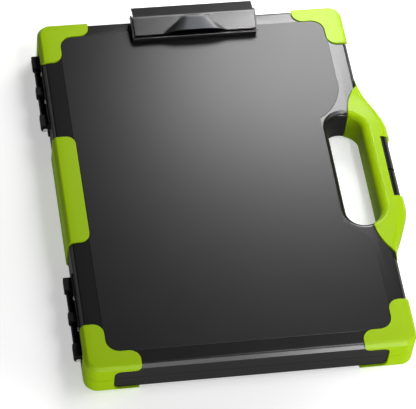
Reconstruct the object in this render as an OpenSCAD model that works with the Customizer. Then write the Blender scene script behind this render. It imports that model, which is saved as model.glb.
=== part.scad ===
// Storage clipboard box: a flat case of two hinged shells with a carrying handle on its right side,
// lime bumpers on its corners and spine, and a sprung clip for paper at the rear of the cover.
// The pieces are drawn round the middle of the closed box, with z = 0 on the parting plane. placed()
// then moves them, so that the origin lies under the middle of the whole object.

/* [Box] */
// Width of the closed box, from the hinge side to the handle side
box_w = 296; // [288:1:310]
// Length of the closed box, from front to rear
box_l = 392; // [384:1:420]
// Height of the closed box, without the bumpers' feet
box_h = 38; // [36:0.5:42]
// Radius of the upright corners
corner_r = 11; // [10:0.5:13]
// Radius of the rounded outer edges
edge_r = 5; // [4:0.25:6]
// Thickness of the side walls
wall = 3; // [2.8:0.1:3.4]
// Thickness of the top and bottom faces
face_wall = 2.5; // [2.3:0.1:3]

/* [Writing panel] */
// Width of the raised panel
panel_w = 260; // [256:1:266]
// Length of the raised panel
panel_l = 360; // [352:1:364]
// Height of the panel's edge over the border
panel_step = 0.4; // [0.2:0.1:0.6]
// Height that the border gains between the rounded edge and the panel
border_rise = 0.7; // [0.4:0.1:1]

/* [Handle] */
// How far the handle stands out from the side of the box
grip_out = 20.5; // [19:0.5:22]
// Half length of the handle's straight middle
grip_flat = 44; // [42:1:46]
// Distance from the middle to the tips of the grip
grip_reach = 105; // [102:1:108]
// Thickness of the lime skin round the handle's core
grip_wall = 3.2; // [2.6:0.1:3.6]
// Width of the finger opening
opening_w = 33; // [32.5:0.5:34]
// Length of the finger opening
opening_l = 127; // [124:1:128]
// Radius of the rounded rim of the finger opening
rim_r = 5; // [3:0.5:5]

/* [Bumpers] */
// Length of a corner bumper's arms, from the side of the box
bumper_arm = 48; // [44:1:52]
// Width of the arm that runs along the left or right side
bumper_side_w = 19; // [18:0.5:21]
// Width of the arm that runs along the front or rear
bumper_end_w = 16; // [15:0.5:18]
// How far the bumpers stand out from the sides
bumper_proud = 1.5; // [1:0.1:2]
// How far the bumpers stand over the faces, as feet under the base
foot = 0.8; // [0.5:0.1:1.2]
// Half length of the bumper in the middle of the spine
spine_half = 60; // [56:1:64]

/* [Hinges] */
// Distance from the middle of the spine to the middle of each hinge
hinge_at = 129; // [127:0.5:129]
// Radius of the cover's knuckles
knuckle_r = 4.2; // [4:0.1:4.2]
// Radius of the hinge pins
pin_r = 1.25; // [1:0.05:1.4]

/* [Clip] */
// Width of the paper clip
clip_w = 122; // [112:1:130]
// Distance from the middle of the box to the clip's front edge
clip_front = 167.5; // [166.5:0.5:168]
// Distance of the clip's middle from the middle of the box, towards the handle
clip_x = 1.8; // [0:0.1:4]
// Height of the clip's pad over the panel
pad_h = 5; // [4.6:0.1:5.4]
// Height of the arch in the middle of the jaw's front edge
arch_rise = 4.5; // [3:0.5:6]

/* [Inside] */
// Clear width of the paper compartment in the base
paper_w = 225; // [219:1:228]
// Height of the dividers over the floor of the base
divider_h = 13; // [8:0.5:15]

/* [Hidden] */
$fn = 48;

half_w = box_w / 2;
half_l = box_l / 2;
half_h = box_h / 2;
// Height of each shell's rim over the parting plane, which leaves a fine seam
seam = 0.15;
border_level = half_h - panel_step;
// Depth of the seats that the bumpers lie in, at the sides and on the faces
seat_side = 1.2;
seat_face = 0.8;
// Facets of a full turn inside a hull
hull_fn = 32;
// Reach of a cutting shape past what it cuts
past = 30;

// Finger opening: its middle, its corner radius and where its round ends start
opening_x = half_w - 21;
opening_r = opening_w / 2 - 0.5;
opening_right = opening_x + opening_w / 2;
round_from = opening_l / 2 - opening_r;
// Where the line between grip and shell leaves the opening
split_y = opening_l / 2 - 1;
// The line between grip and shell is an arc of this radius round [line_x, line_y]
line_r = 50;
line_x = half_w + 35;
line_y = split_y - 0.5;
// Top of the grip over the parting plane, and of the core inside it
grip_top = half_h + 0.6;
core_top = half_h - 3.5;
// Where the core leaves the grip and runs into the box
core_reach = 84;
// Fall of the grip's crown towards its outer edge, as a slope and at most
crown_slope = 0.13;
crown_fall = 1;

// The two latches turn on one pin, low in the outer edge of the handle
latch_end = 34.6;
latch_split = -4;
latch_gap = 1.1;
latch_clear = 0.4;
latch_wall_x = half_w + grip_out - 10.2;
latch_x = latch_wall_x + 0.4;
latch_out_x = half_w + grip_out - 2.4;
latch_top = half_h - 0.8;
latch_skin = 2.4;
latch_bend = latch_out_x - latch_x;
latch_barrel_r = 3.6;
latch_pivot_x = latch_out_x - latch_barrel_r;
latch_pivot_z = -11.5;
latch_pin_half = latch_end + 7;
// Radial clearance between a pin and the piece that turns on it
running = 0.05;

// How far above the seam the arms of the corner bumpers end, on the cover and on the base
cover_lip = 12.5;
base_lip = 14.8;

// Hinges: the cover's three wide knuckles and the base's two slim ones share a pin
hinge_x = -half_w - knuckle_r - 0.4;
hinge_half = 42.2;
// Middle of each hinge along the spine: both sit a little forward
hinge_middles = [-hinge_at - 1.75, hinge_at - 1.75];
slim_r = 2.8;
leaf_t = 1.6;
leaf_low = 6.9;
leaf_high = 12;
web_h = 6;
cover_knuckles = [[-42.2, -28.8], [-4.8, 4.6], [28.6, 42.2]];
base_knuckles = [[-28.4, -5.2], [5, 28.2]];
screw_at = [-16.7, 16.7];
screw_r = 0.9;
screw_head_r = 1.9;
screw_z = (leaf_low + leaf_high) / 2;

// Clip: a plate with raised sides, a rod across them and a bent jaw that turns on the rod
plate_t = 0.8;
pad_top = half_h + pad_h;
plate_top = pad_top + plate_t;
clip_half = clip_w / 2;
rod_y = clip_front + 23;
rod_z = plate_top + 2.8;
rod_r = 1.4;
jaw_half = clip_half - 2.2;
jaw_t = 1;
jaw_front = clip_front + 1.4;
jaw_crease = clip_front + 19.5;
jaw_rear = clip_front + 35;
jaw_crease_z = plate_top + 6.85;
jaw_slope = 0.276;
// Underside of the jaw behind its crease
function jaw_behind(y) = jaw_crease_z - jaw_slope * (y - jaw_crease - 1);
// Underside of the jaw from its front edge to its rear edge, as [y, z]
jaw_rows = [
    [jaw_front, plate_top + 2],
    [jaw_front + 6, plate_top + 3.7],
    [jaw_front + 12.5, plate_top + 5.6],
    [jaw_crease - 1, jaw_crease_z],
    [jaw_crease + 1, jaw_crease_z],
    [jaw_rear - 0.8, jaw_behind(jaw_rear - 0.8)],
    [jaw_rear, jaw_behind(jaw_rear)]
];
arch_half = 32;
arch_tip_half = 9;
arch_steps = 8;
rivet_x = 40;
rivet_y = clip_front + 12;
rivet_r = 1.6;
coil_turns = 8;
coil_pitch = 1.6;
coil_r = 2.2;
wire_r = 0.5;

// The whole object reaches from the hinge knuckles to the handle, and from the front bumpers to the
// rear edge of the jaw
mid_x = (half_w + grip_out + hinge_x - knuckle_r) / 2;
mid_y = (jaw_rear - half_l - bumper_proud) / 2;
lift = half_h + foot;

charcoal = [0.2, 0.2, 0.21];
lime = [0.62, 0.82, 0.14];
black = [0.07, 0.07, 0.08];
gunmetal = [0.42, 0.43, 0.44];
steel = [0.7, 0.71, 0.72];

module placed() {
    translate([-mid_x, -mid_y, lift])
        children();
}

module rounded_plan(w, l, r) {
    square([w, l - 2 * r], center = true);
    square([w - 2 * r, l], center = true);
    for (sx = [-1, 1], sy = [-1, 1])
        translate([sx * (w / 2 - r), sy * (l / 2 - r)])
            circle(r);
}

// Upright section of a corner of radius r: side wall, rounded edge and the start of the border,
// which climbs by rise to the height level
function edge_section(r, level, rise) =
    let (shoulder = level - rise - edge_r * sin(80))
    concat(
        [[0, seam], [r, seam]],
        [for (a = [0 : 20 : 80]) [r - edge_r + edge_r * cos(a), shoulder + edge_r * sin(a)]],
        [[0, level - rise]]
    );

// Upper half of the box as one solid block, with its sides moved out by grow and a flat middle of
// flat_w by flat_l
module half_box(grow, level, rise, flat_w, flat_l) {
    hull() {
        for (sx = [-1, 1], sy = [-1, 1])
            translate([sx * (half_w - corner_r), sy * (half_l - corner_r), 0])
                rotate_extrude($fn = hull_fn)
                    polygon(edge_section(corner_r + grow, level, rise));
        translate([0, 0, level - 1])
            linear_extrude(1)
                rounded_plan(flat_w, flat_l, 6, $fn = hull_fn);
    }
}

module black_box() {
    half_box(0, border_level, border_rise, panel_w, panel_l);
}

module seat_box() {
    half_box(-seat_side, border_level - seat_face, border_rise, panel_w, panel_l);
}

module bumper_box() {
    flat_from = 8;
    half_box(bumper_proud, half_h + foot, 0.3, box_w - 2 * flat_from, box_l - 2 * flat_from);
}

// Everything to the right of x and behind y, with that inner corner rounded
module field(x, y, r) {
    translate([x + r, y])
        square([half_w + past - x - r, half_l + past - y]);
    translate([x, y + r])
        square([half_w + past - x, half_l + past - y - r]);
    translate([x + r, y + r])
        circle(r);
}

// Plan of a corner bumper on the face: two arms with rounded ends and a rounded inner corner
module corner_face_plan() {
    arm_r = 10;
    inner_r = 12.5;
    inner_x0 = half_w - bumper_side_w;
    inner_y0 = half_l - bumper_end_w;
    field(half_w - bumper_arm, inner_y0, arm_r);
    field(inner_x0, half_l - bumper_arm + 2, arm_r);
    difference() {
        translate([inner_x0 - inner_r, inner_y0 - inner_r])
            square(inner_r + 1);
        translate([inner_x0 - inner_r, inner_y0 - inner_r])
            circle(inner_r);
    }
}

// What lies under an arm that ends at arm_end and wraps the edge down to lip_z, up to the corner part at
// corner_from. The arm's lower corner and its run into the corner part are rounded.
module under_arm(arm_end, corner_from, lip_z, bend_r) {
    end_r = min(6, half_h - 0.2 - lip_z);
    difference() {
        translate([arm_end - past, -past])
            square([corner_from - arm_end + past, lip_z + past]);
        difference() {
            translate([corner_from - bend_r, lip_z - bend_r])
                square(bend_r + 1);
            translate([corner_from - bend_r, lip_z - bend_r])
                circle(bend_r);
        }
    }
    difference() {
        translate([arm_end - 1, lip_z - 1])
            square(end_r + 1);
        translate([arm_end + end_r, lip_z + end_r])
            circle(end_r);
    }
}

// Room of the rear right corner bumper: its arms only wrap the edge, its corner goes all the way down
module corner_room(lip_z) {
    side_reach = 24.1;
    end_reach = 22;
    difference() {
        translate([0, 0, -1])
            linear_extrude(half_h + past)
                corner_face_plan();
        translate([0, half_l + past + 1, 0])
            rotate([90, 0, 0])
                linear_extrude(2 * past + bumper_arm)
                    under_arm(half_w - bumper_arm, half_w - side_reach, lip_z, 6);
        translate([half_w - bumper_arm - past, 0, 0])
            rotate([90, 0, 90])
                linear_extrude(2 * past + bumper_arm + 1)
                    under_arm(half_l - bumper_arm + 2, half_l - end_reach, lip_z, 1.5);
    }
}

module spine_room() {
    spine_in = 19.5;
    translate([-half_w - past, 0, -1])
        linear_extrude(half_h + past)
            rounded_plan(2 * (past + spine_in), 2 * spine_half, 9);
}

// The four corners as [x side, y side]
module at_corner(side) {
    mirror([side[0] < 0 ? 1 : 0, 0, 0])
        mirror([0, side[1] < 0 ? 1 : 0, 0])
            children();
}

module corner_bumper(side, lip_z) {
    color(lime)
        at_corner(side)
            difference() {
                intersection() {
                    bumper_box();
                    corner_room(lip_z);
                }
                seat_box();
            }
}

module spine_bumper() {
    color(lime)
        difference() {
            intersection() {
                bumper_box();
                spine_room();
            }
            seat_box();
        }
}

// Stations along the handle, from its middle to a tip, and both ways
half_stations = concat(
    [0, grip_flat],
    [for (i = [0 : 6]) round_from + i * (split_y - round_from) / 6],
    [for (i = [1 : 11]) split_y + (grip_reach - split_y) * pow(i / 11, 1.5)]
);
last_station = len(half_stations) - 1;
stations = [for (i = [-last_station : last_station]) sign(i) * half_stations[abs(i)]];

// Right side of the finger opening with its outline moved out by grow
function rim_x(y, grow) =
    let (over = max(abs(y) - round_from, 0))
    opening_right - opening_r + sqrt(max(pow(opening_r + grow, 2) - pow(over, 2), 0));

// Line between grip and shell, which starts at the opening
function line_at(y) = abs(y) < split_y - 0.001 ? 0
    : min(line_x - sqrt(pow(line_r, 2) - pow(abs(y) - line_y, 2)), half_w - 0.8);

// Inner side of the grip: the finger opening, then the line between grip and shell
function inner_x(y) = max(abs(y) < split_y ? rim_x(y, 0) : 0, line_at(y));

// Outer side of the grip: straight, then a smooth curve back to the side of the box
function outer_x(y) =
    let (a = abs(y), k = (a - grip_flat) / (grip_reach + 3 - grip_flat))
    half_w + grip_out * (a < grip_flat ? 1 : 0.5 + 0.5 * cos(180 * k));

function mix(from, to, k) = from + (to - from) * min(max(k, 0), 1);

// Section of the grip across the handle at y, as [x, z] points from the inner foot to the outer one.
// The rounding towards the opening is wide in the middle of the handle. From there the crown falls
// gently to the rounding of the outer edge.
function grip_section(y) =
    let (
        a = abs(y),
        x0 = inner_x(y),
        x1 = outer_x(y),
        r_out = mix(8.5, 5, (a - 70) / 35),
        r_in = mix(9, 5.5, (a - round_from) / (split_y - round_from)),
        lip = 0.3,
        rim = [for (i = [0 : 6]) let (b = 15 * i)
            [max(rim_x(y, r_in - r_in * cos(b)), line_at(y) + lip - lip * cos(b)), b]],
        ridge = rim[6][0],
        room = x1 - ridge - 0.2,
        start = room >= r_out ? 90 : acos(1 - room / r_out),
        top = grip_top - r_out + r_out * sin(start),
        fall = min(crown_fall, crown_slope * max(room - r_out, 0))
    )
    concat(
        [[x0, seam]],
        [for (p = rim) [p[0], top - r_in + r_in * sin(p[1])]],
        [for (i = [6 : -1 : 0]) let (b = start * i / 6)
            [x1 - r_out + r_out * cos(b), grip_top - fall - r_out + r_out * sin(b)]],
        [[x1, seam]]
    );

// Closed skin through rows of points: each row is a loop with an even number of points, and the
// ends are strips between the two halves of a loop
module skin(rows) {
    m = len(rows[0]);
    n = len(rows);
    sides = [for (i = [0 : n - 2], j = [0 : m - 1], s = [0, 1])
        let (a = i * m + j, b = i * m + (j + 1) % m, c = a + m, d = b + m)
        s == 0 ? [a, d, b] : [a, c, d]];
    ends = [for (j = [0 : m / 2 - 2], s = [0, 1], k = [0, (n - 1) * m])
        let (a = k + j, b = k + j + 1, c = k + m - 2 - j, d = k + m - 1 - j)
        k == 0 ? (s == 0 ? [a, b, c] : [a, c, d]) : (s == 0 ? [a, c, b] : [a, d, c])];
    polyhedron(points = [for (row = rows, p = row) p], faces = concat(sides, ends));
}

module grip_block() {
    skin([for (y = stations) [for (p = grip_section(y)) [p[0], y, p[1]]]]);
}

// Plan of the black core that the grip is moulded round and that joins the handle to the shell
module core_plan() {
    ys = [for (y = stations) if (abs(y) <= core_reach) y];
    last = len(ys) - 1;
    polygon(concat(
        [for (y = ys) [outer_x(y) - grip_wall, y]],
        [for (i = [last : -1 : 0]) [max(rim_x(ys[i], grip_wall), line_at(ys[i]) - 2), ys[i]]]
    ));
}

// Recess for the latches in the outer edge of the handle, with a web left under z = web_top
module latch_recess(web_top) {
    long = 2 * (latch_end + latch_clear);
    web_t = 2 * latch_gap - 0.6;
    difference() {
        translate([latch_wall_x, -long / 2, -1])
            cube([past, long, half_h + past]);
        if (web_top > 0)
            translate([latch_wall_x - 1, latch_split - web_t / 2, web_top])
                cube([past, web_t, half_h + past]);
    }
}

module handle_core(web_top) {
    slot_half = 54;
    difference() {
        translate([0, 0, seam])
            linear_extrude(core_top - seam)
                core_plan();
        translate([opening_right + 6, -slot_half, -1])
            cube([6, 2 * slot_half, core_top - 2.5]);
        latch_recess(web_top);
    }
}

module handle_grip() {
    color(lime)
        difference() {
            grip_block();
            translate([0, 0, -1])
                linear_extrude(core_top + 1)
                    core_plan();
            latch_recess(0);
        }
}

module opening_plan(grow) {
    translate([opening_x, 0])
        rounded_plan(opening_w + 2 * grow, opening_l + 2 * grow, opening_r + grow);
}

// Finger opening with its rounded rim
module opening_cut() {
    rim_base = border_level - rim_r;
    translate([0, 0, -1])
        linear_extrude(half_h + past)
            opening_plan(0);
    for (a = [0 : 30 : 60])
        hull() {
            for (b = [a, a + 30])
                translate([0, 0, rim_base + rim_r * sin(b)])
                    linear_extrude(b > 80 ? 1 : 0.01)
                        opening_plan(rim_r * (1 - cos(b)), $fn = hull_fn);
        }
}

// Everything that belongs to the grip, cut from the shell: its edge runs just inside the finger
// opening, and then along the line between grip and shell
module grip_room(grow) {
    inside = 2;
    translate([0, 0, -1])
        linear_extrude(half_h + past)
            polygon(concat(
                [for (y = stations) [inner_x(y) - grow - (abs(y) < split_y ? inside : 0), y]],
                [[half_w + past, grip_reach], [half_w + past, -grip_reach]]
            ));
}

// Hollow of a shell: full width up to the rounded edge, narrower above
module cavity() {
    full_top = 12;
    shy = 9;
    r = corner_r - wall;
    difference() {
        union() {
            translate([0, 0, -1])
                linear_extrude(full_top + 1)
                    rounded_plan(box_w - 2 * wall, box_l - 2 * wall, r);
            translate([0, 0, -1])
                linear_extrude(half_h - face_wall + 1)
                    rounded_plan(box_w - 2 * shy, box_l - 2 * shy, r);
        }
        translate([0, 0, -2])
            linear_extrude(half_h + past)
                opening_plan(wall);
        grip_room(wall + 0.2);
    }
}

// Upper half of the case without the bumpers
module half_shell(web_top, lip_z) {
    difference() {
        union() {
            difference() {
                union() {
                    black_box();
                    translate([0, 0, border_level - 0.5])
                        linear_extrude(panel_step + 0.5)
                            panel_plan();
                }
                for (sx = [-1, 1], sy = [-1, 1])
                    at_corner([sx, sy])
                        corner_room(lip_z);
                spine_room();
            }
            seat_box();
        }
        grip_room(0);
        opening_cut();
        cavity();
        hinge_screw_holes();
    }
    handle_core(web_top);
}

// Outline of the raised panel, which gives way to the finger opening in two wide arcs
module panel_plan() {
    bend_r = 48.5;
    bend_x = half_w - 66;
    bend_y = 103;
    rim_left = opening_x - opening_w / 2 - rim_r;
    difference() {
        rounded_plan(panel_w, panel_l, 6);
        difference() {
            translate([rim_left, -bend_y])
                square([past, 2 * bend_y]);
            for (sy = [-1, 1])
                translate([bend_x, sy * bend_y])
                    circle(bend_r, $fn = 96);
        }
    }
}

module hinge_screw_holes() {
    for (middle = hinge_middles, y = screw_at)
        translate([-half_w - 1, middle + y, screw_z])
            rotate([0, 90, 0])
                cylinder(r = screw_r, h = 1 + wall - 0.4);
}

// Raised block on the cover that carries the clip, a little smaller than the clip's plate
module clip_pad() {
    pad_low = border_level - 1.5;
    pad_from = clip_front + 1.5;
    pad_to = half_l - edge_r - 2;
    translate([clip_x - clip_half + 1, pad_from, pad_low])
        cube([clip_w - 2, pad_to - pad_from, pad_top - pad_low]);
}

module cover_shell() {
    color(charcoal)
        difference() {
            union() {
                half_shell(0, cover_lip);
                clip_pad();
            }
            for (sx = [-1, 1])
                translate([clip_x + sx * rivet_x, rivet_y, half_h - 2 * face_wall])
                    cylinder(r = rivet_r, h = past);
        }
}

// Dividers in the base: one beside the paper, and two that close a pen tray beside the opening
module dividers() {
    rib_t = 1.8;
    floor_z = half_h - face_wall;
    rib_x = -half_w + wall + paper_w;
    tray_y = opening_l / 2 + wall;
    translate([rib_x, -half_l + wall - 0.5, floor_z - divider_h])
        cube([rib_t, box_l - 2 * wall + 1, divider_h + 0.5]);
    for (sy = [-1, 1])
        translate([rib_x + 1, sy * (tray_y - rib_t / 2) - rib_t / 2, floor_z - divider_h])
            cube([opening_x - rib_x, rib_t, divider_h + 0.5]);
}

module base_shell() {
    web_top = 6;
    color(charcoal)
        mirror([0, 0, 1])
            difference() {
                union() {
                    half_shell(web_top, base_lip);
                    dividers();
                }
                translate([latch_pivot_x, 0, -latch_pivot_z])
                    rotate([90, 0, 0])
                        cylinder(r = pin_r, h = 2 * latch_pin_half, center = true);
            }
}

// Hinge leaf of the upper half: a strip on the wall, with a web and a knuckle at each place in spans
module hinge_leaf(spans, r, bore) {
    color(black)
        difference() {
            union() {
                translate([-half_w - leaf_t, -hinge_half, leaf_low])
                    cube([leaf_t, 2 * hinge_half, leaf_high - leaf_low]);
                for (s = spans)
                    translate([0, s[0], 0]) {
                        long = s[1] - s[0];
                        translate([-half_w - leaf_t, 0, seam])
                            cube([leaf_t, long, leaf_low]);
                        web_x = r == knuckle_r ? hinge_x - r : hinge_x;
                        translate([web_x, 0, seam])
                            cube([-half_w - web_x, long, web_h - seam]);
                        translate([hinge_x, long, 0])
                            rotate([90, 0, 0])
                                cylinder(r = r, h = long);
                    }
            }
            translate([hinge_x, 0, 0])
                rotate([90, 0, 0])
                    cylinder(r = bore, h = 2 * hinge_half + 2, center = true);
            for (y = screw_at)
                translate([-half_w - leaf_t - 1, y, screw_z])
                    rotate([0, 90, 0])
                        cylinder(r = screw_r, h = leaf_t + 2);
        }
}

module hinge_leaf_cover() {
    hinge_leaf(cover_knuckles, knuckle_r, pin_r + running);
}

module hinge_leaf_base() {
    mirror([0, 0, 1])
        hinge_leaf(base_knuckles, slim_r, pin_r);
}

module hinge_pin() {
    head_r = 2.2;
    head_t = 0.8;
    head_gap = 0.2;
    color(steel)
        translate([hinge_x, 0, 0])
            rotate([90, 0, 0]) {
                cylinder(r = pin_r, h = 2 * (hinge_half + head_gap) + 0.2, center = true);
                for (s = [-1, 1])
                    translate([0, 0, s * (hinge_half + head_gap + head_t / 2)])
                        cylinder(r = head_r, h = head_t, center = true);
            }
}

// Pan head screws of both leaves of the upper half
module hinge_screws() {
    head_t = 0.9;
    slot_w = 0.5;
    color(steel)
        for (middle = hinge_middles, y = screw_at)
            translate([-half_w - leaf_t, middle + y, screw_z])
                rotate([0, 90, 0])
                    difference() {
                        union() {
                            translate([0, 0, -head_t])
                                cylinder(r = screw_head_r, h = head_t);
                            cylinder(r = screw_r, h = leaf_t + wall - 0.4);
                        }
                        translate([-slot_w / 2, -screw_head_r, -head_t - 0.5])
                            cube([slot_w, 2 * screw_head_r, 0.9]);
                    }
}

module latch_pin() {
    color(steel)
        translate([latch_pivot_x, 0, latch_pivot_z])
            rotate([90, 0, 0])
                cylinder(r = pin_r, h = 2 * latch_pin_half - 2, center = true);
}

// Section of a latch, as seen from the front: a bent skin over a barrel
module latch_profile() {
    bend_z = latch_top - latch_bend;
    difference() {
        union() {
            intersection() {
                translate([latch_x, bend_z])
                    circle(latch_bend);
                translate([latch_x, bend_z])
                    square(latch_bend + 1);
            }
            translate([latch_x, latch_pivot_z])
                square([latch_bend, bend_z - latch_pivot_z]);
            translate([latch_pivot_x, latch_pivot_z])
                circle(latch_barrel_r);
        }
        translate([latch_x, bend_z])
            circle(latch_bend - latch_skin);
        translate([latch_x - 1, latch_pivot_z + latch_barrel_r])
            square([latch_bend - latch_skin + 1, bend_z - latch_pivot_z - latch_barrel_r]);
        translate([latch_x - 1, latch_pivot_z - 2])
            square([latch_pivot_x - latch_barrel_r - latch_x + 1, latch_barrel_r + 3]);
    }
}

// Latch between two places along the handle
module latch(from, to) {
    color(black)
        difference() {
            translate([0, to, 0])
                rotate([90, 0, 0])
                    linear_extrude(to - from)
                        latch_profile();
            translate([latch_pivot_x, 0, latch_pivot_z])
                rotate([90, 0, 0])
                    cylinder(r = pin_r + running, h = 4 * latch_end, center = true);
        }
}

module latch_front() {
    latch(-latch_end, latch_split - latch_gap);
}

module latch_rear() {
    latch(latch_split + latch_gap, latch_end);
}

// Clip plate: flat on the cover, with sides that follow the jaw and carry the rod
module clip_base_plate() {
    side_t = 1.4;
    plate_rear = clip_front + 25.5;
    color(gunmetal)
        difference() {
            union() {
                translate([-clip_half, clip_front, pad_top])
                    cube([clip_w, plate_rear - clip_front, plate_t]);
                for (x = [-clip_half, clip_half - side_t])
                    translate([x, 0, 0])
                        rotate([90, 0, 90])
                            linear_extrude(side_t) {
                                polygon([
                                    [clip_front + 1, pad_top],
                                    [plate_rear, pad_top],
                                    [rod_y + 2.8, rod_z],
                                    [rod_y, rod_z + 2.6],
                                    [rod_y - 3, rod_z + 1.6],
                                    [clip_front + 1, plate_top + 0.8]
                                ]);
                                translate([rod_y, rod_z])
                                    circle(2.8);
                            }
            }
            translate([0, rod_y, rod_z])
                rotate([0, 90, 0])
                    cylinder(r = rod_r, h = clip_w + 2, center = true);
            for (sx = [-1, 1])
                translate([sx * rivet_x, rivet_y, pad_top - 1])
                    cylinder(r = rivet_r, h = plate_t + 2);
        }
}

module clip_rivets() {
    head_r = 3;
    head_t = 0.9;
    under = half_h - face_wall;
    color(steel)
        for (sx = [-1, 1])
            translate([sx * rivet_x, rivet_y, 0]) {
                translate([0, 0, plate_top])
                    cylinder(r = head_r, h = head_t);
                translate([0, 0, under - 0.4])
                    cylinder(r = rivet_r, h = plate_top - under + 0.8);
                translate([0, 0, under - 0.8])
                    cylinder(r = head_r, h = 0.8);
            }
}

module clip_rod() {
    color(steel)
        translate([0, rod_y, rod_z])
            rotate([0, 90, 0])
                cylinder(r = rod_r, h = clip_w + 1.6, center = true);
}

// Half width of the arch at y: wide at the front edge, a narrow tip at the crease
function arch_reach(y) = mix(arch_half, arch_tip_half, (y - jaw_front) / (jaw_crease - jaw_front));

function arch_height(x, y) =
    let (k = min(abs(x) / arch_reach(y), 1))
    arch_rise * mix(1, 0, (y - jaw_front) / (jaw_crease - jaw_front)) * pow(1 - pow(k, 4), 1.5);

function jaw_columns(y) = concat(
    [-jaw_half],
    [for (i = [-arch_steps : arch_steps]) arch_reach(y) * i / arch_steps],
    [jaw_half]
);

// One closed loop round the jaw's sheet for each row: over it from left to right, and back under it
function jaw_loop(row) =
    let (xs = jaw_columns(row[0]), last = len(xs) - 1)
    concat(
        [for (x = xs) [x, row[0], row[1] + jaw_t + arch_height(x, row[0])]],
        [for (i = [last : -1 : 0]) [xs[i], row[0], row[1] + arch_height(xs[i], row[0])]]
    );

module jaw_sheet() {
    skin([for (row = jaw_rows) jaw_loop(row)]);
}

module clip_jaw() {
    tab_t = 1.2;
    tab_r = 2.5;
    tab_from = rod_y - tab_r;
    tab_to = rod_y + tab_r;
    color(gunmetal)
        difference() {
            union() {
                jaw_sheet();
                for (x = [-jaw_half + 0.4, jaw_half - 0.4 - tab_t])
                    translate([x, 0, 0])
                        rotate([90, 0, 90])
                            linear_extrude(tab_t) {
                                polygon([
                                    [tab_from, rod_z],
                                    [tab_to, rod_z],
                                    [tab_to, jaw_behind(tab_to) + jaw_t / 2],
                                    [tab_from, jaw_behind(tab_from) + jaw_t / 2]
                                ]);
                                translate([rod_y, rod_z])
                                    circle(tab_r);
                            }
            }
            translate([0, rod_y, rod_z])
                rotate([0, 90, 0])
                    cylinder(r = rod_r + running, h = clip_w, center = true);
        }
}

// Middle line of the spring's wire as [point, direction away from the rod]: a front leg on the plate,
// the coil round the rod and a rear leg
coil_steps = 8;
coil_x = -coil_pitch * coil_turns / 2;
front_leg = 14;
rear_leg = 4;

function coil_point(i) =
    let (turn = 360 * i / coil_steps)
    [coil_x + coil_pitch * i / coil_steps, rod_y + coil_r * sin(turn), rod_z - coil_r * cos(turn)];

function coil_out(i) =
    let (turn = 360 * i / coil_steps)
    [0, sin(turn), -cos(turn)];

coil_last = coil_turns * coil_steps;
wire_points = concat(
    [[coil_x, rod_y - front_leg, rod_z - coil_r], [coil_x, rod_y - 2 * wire_r, rod_z - coil_r]],
    [for (i = [0 : coil_last]) coil_point(i)],
    [
        [-coil_x, rod_y + 2 * wire_r, rod_z - coil_r],
        [-coil_x, rod_y + rear_leg, rod_z - coil_r]
    ]
);
wire_outs = concat(
    [[0, 0, -1], [0, 0, -1]],
    [for (i = [0 : coil_last]) coil_out(i)],
    [[0, 0, -1], [0, 0, -1]]
);

function unit(v) = v / norm(v);

function wire_ring(i) =
    let (
        last = len(wire_points) - 1,
        way = unit(wire_points[min(i + 1, last)] - wire_points[max(i - 1, 0)]),
        side = unit(cross(way, wire_outs[i])),
        out = cross(side, way)
    )
    [for (a = [0 : 60 : 300]) wire_points[i] + wire_r * (cos(a) * out + sin(a) * side)];

// Least gap between the wire and itself, half a turn or more apart along the coil
wire_gap = min([for (i = [0 : coil_last - coil_steps], k = [coil_steps - 2 : coil_steps + 2])
    if (i + k <= coil_last) norm(coil_point(i) - coil_point(i + k))]) - 2 * wire_r;
echo(least_gap_of_the_spring_wire = wire_gap);

module clip_spring() {
    color(steel)
        skin([for (i = [0 : len(wire_points) - 1]) wire_ring(i)]);
}

// Turns a shape of the cover over for the base
module turned_over() {
    placed()
        mirror([0, 0, 1])
            children();
}

// Moves a hinge's shape to the middle of the front hinge (0) or of the rear hinge (1)
module at_hinge(which) {
    placed()
        translate([0, hinge_middles[which], 0])
            children();
}

// Moves the clip's shapes to the clip's place across the box
module at_clip() {
    placed()
        translate([clip_x, 0, 0])
            children();
}

placed() base_shell();
turned_over() corner_bumper([-1, -1], base_lip);  // base_bumper_front_left
turned_over() corner_bumper([1, -1], base_lip);  // base_bumper_front_right
turned_over() corner_bumper([-1, 1], base_lip);  // base_bumper_rear_left
turned_over() corner_bumper([1, 1], base_lip);  // base_bumper_rear_right
turned_over() spine_bumper();  // base_spine_bumper
turned_over() handle_grip();  // base_handle_grip
at_hinge(0) hinge_leaf_base();  // hinge_leaf_base_front
at_hinge(1) hinge_leaf_base();  // hinge_leaf_base_rear
at_hinge(0) hinge_pin();  // hinge_pin_front
at_hinge(1) hinge_pin();  // hinge_pin_rear
turned_over() hinge_screws();  // hinge_screws_base
placed() latch_pin();
placed() cover_shell();
placed() corner_bumper([-1, -1], cover_lip);  // cover_bumper_front_left
placed() corner_bumper([1, -1], cover_lip);  // cover_bumper_front_right
placed() corner_bumper([-1, 1], cover_lip);  // cover_bumper_rear_left
placed() corner_bumper([1, 1], cover_lip);  // cover_bumper_rear_right
placed() spine_bumper();  // cover_spine_bumper
placed() handle_grip();  // cover_handle_grip
at_hinge(0) hinge_leaf_cover();  // hinge_leaf_cover_front
at_hinge(1) hinge_leaf_cover();  // hinge_leaf_cover_rear
placed() hinge_screws();  // hinge_screws_cover
at_clip() clip_base_plate();
at_clip() clip_rivets();
at_clip() clip_rod();
at_clip() clip_spring();
at_clip() clip_jaw();
placed() latch_front();
placed() latch_rear();
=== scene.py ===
import math

import bmesh
import bpy
from bmesh.types import BMEdge, BMFace, BMVert
from bpy.props import FloatProperty, FloatVectorProperty, PointerProperty
from bpy.types import NodeSocket, Operator, Panel, PropertyGroup
from mathutils import Matrix, Vector


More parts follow.
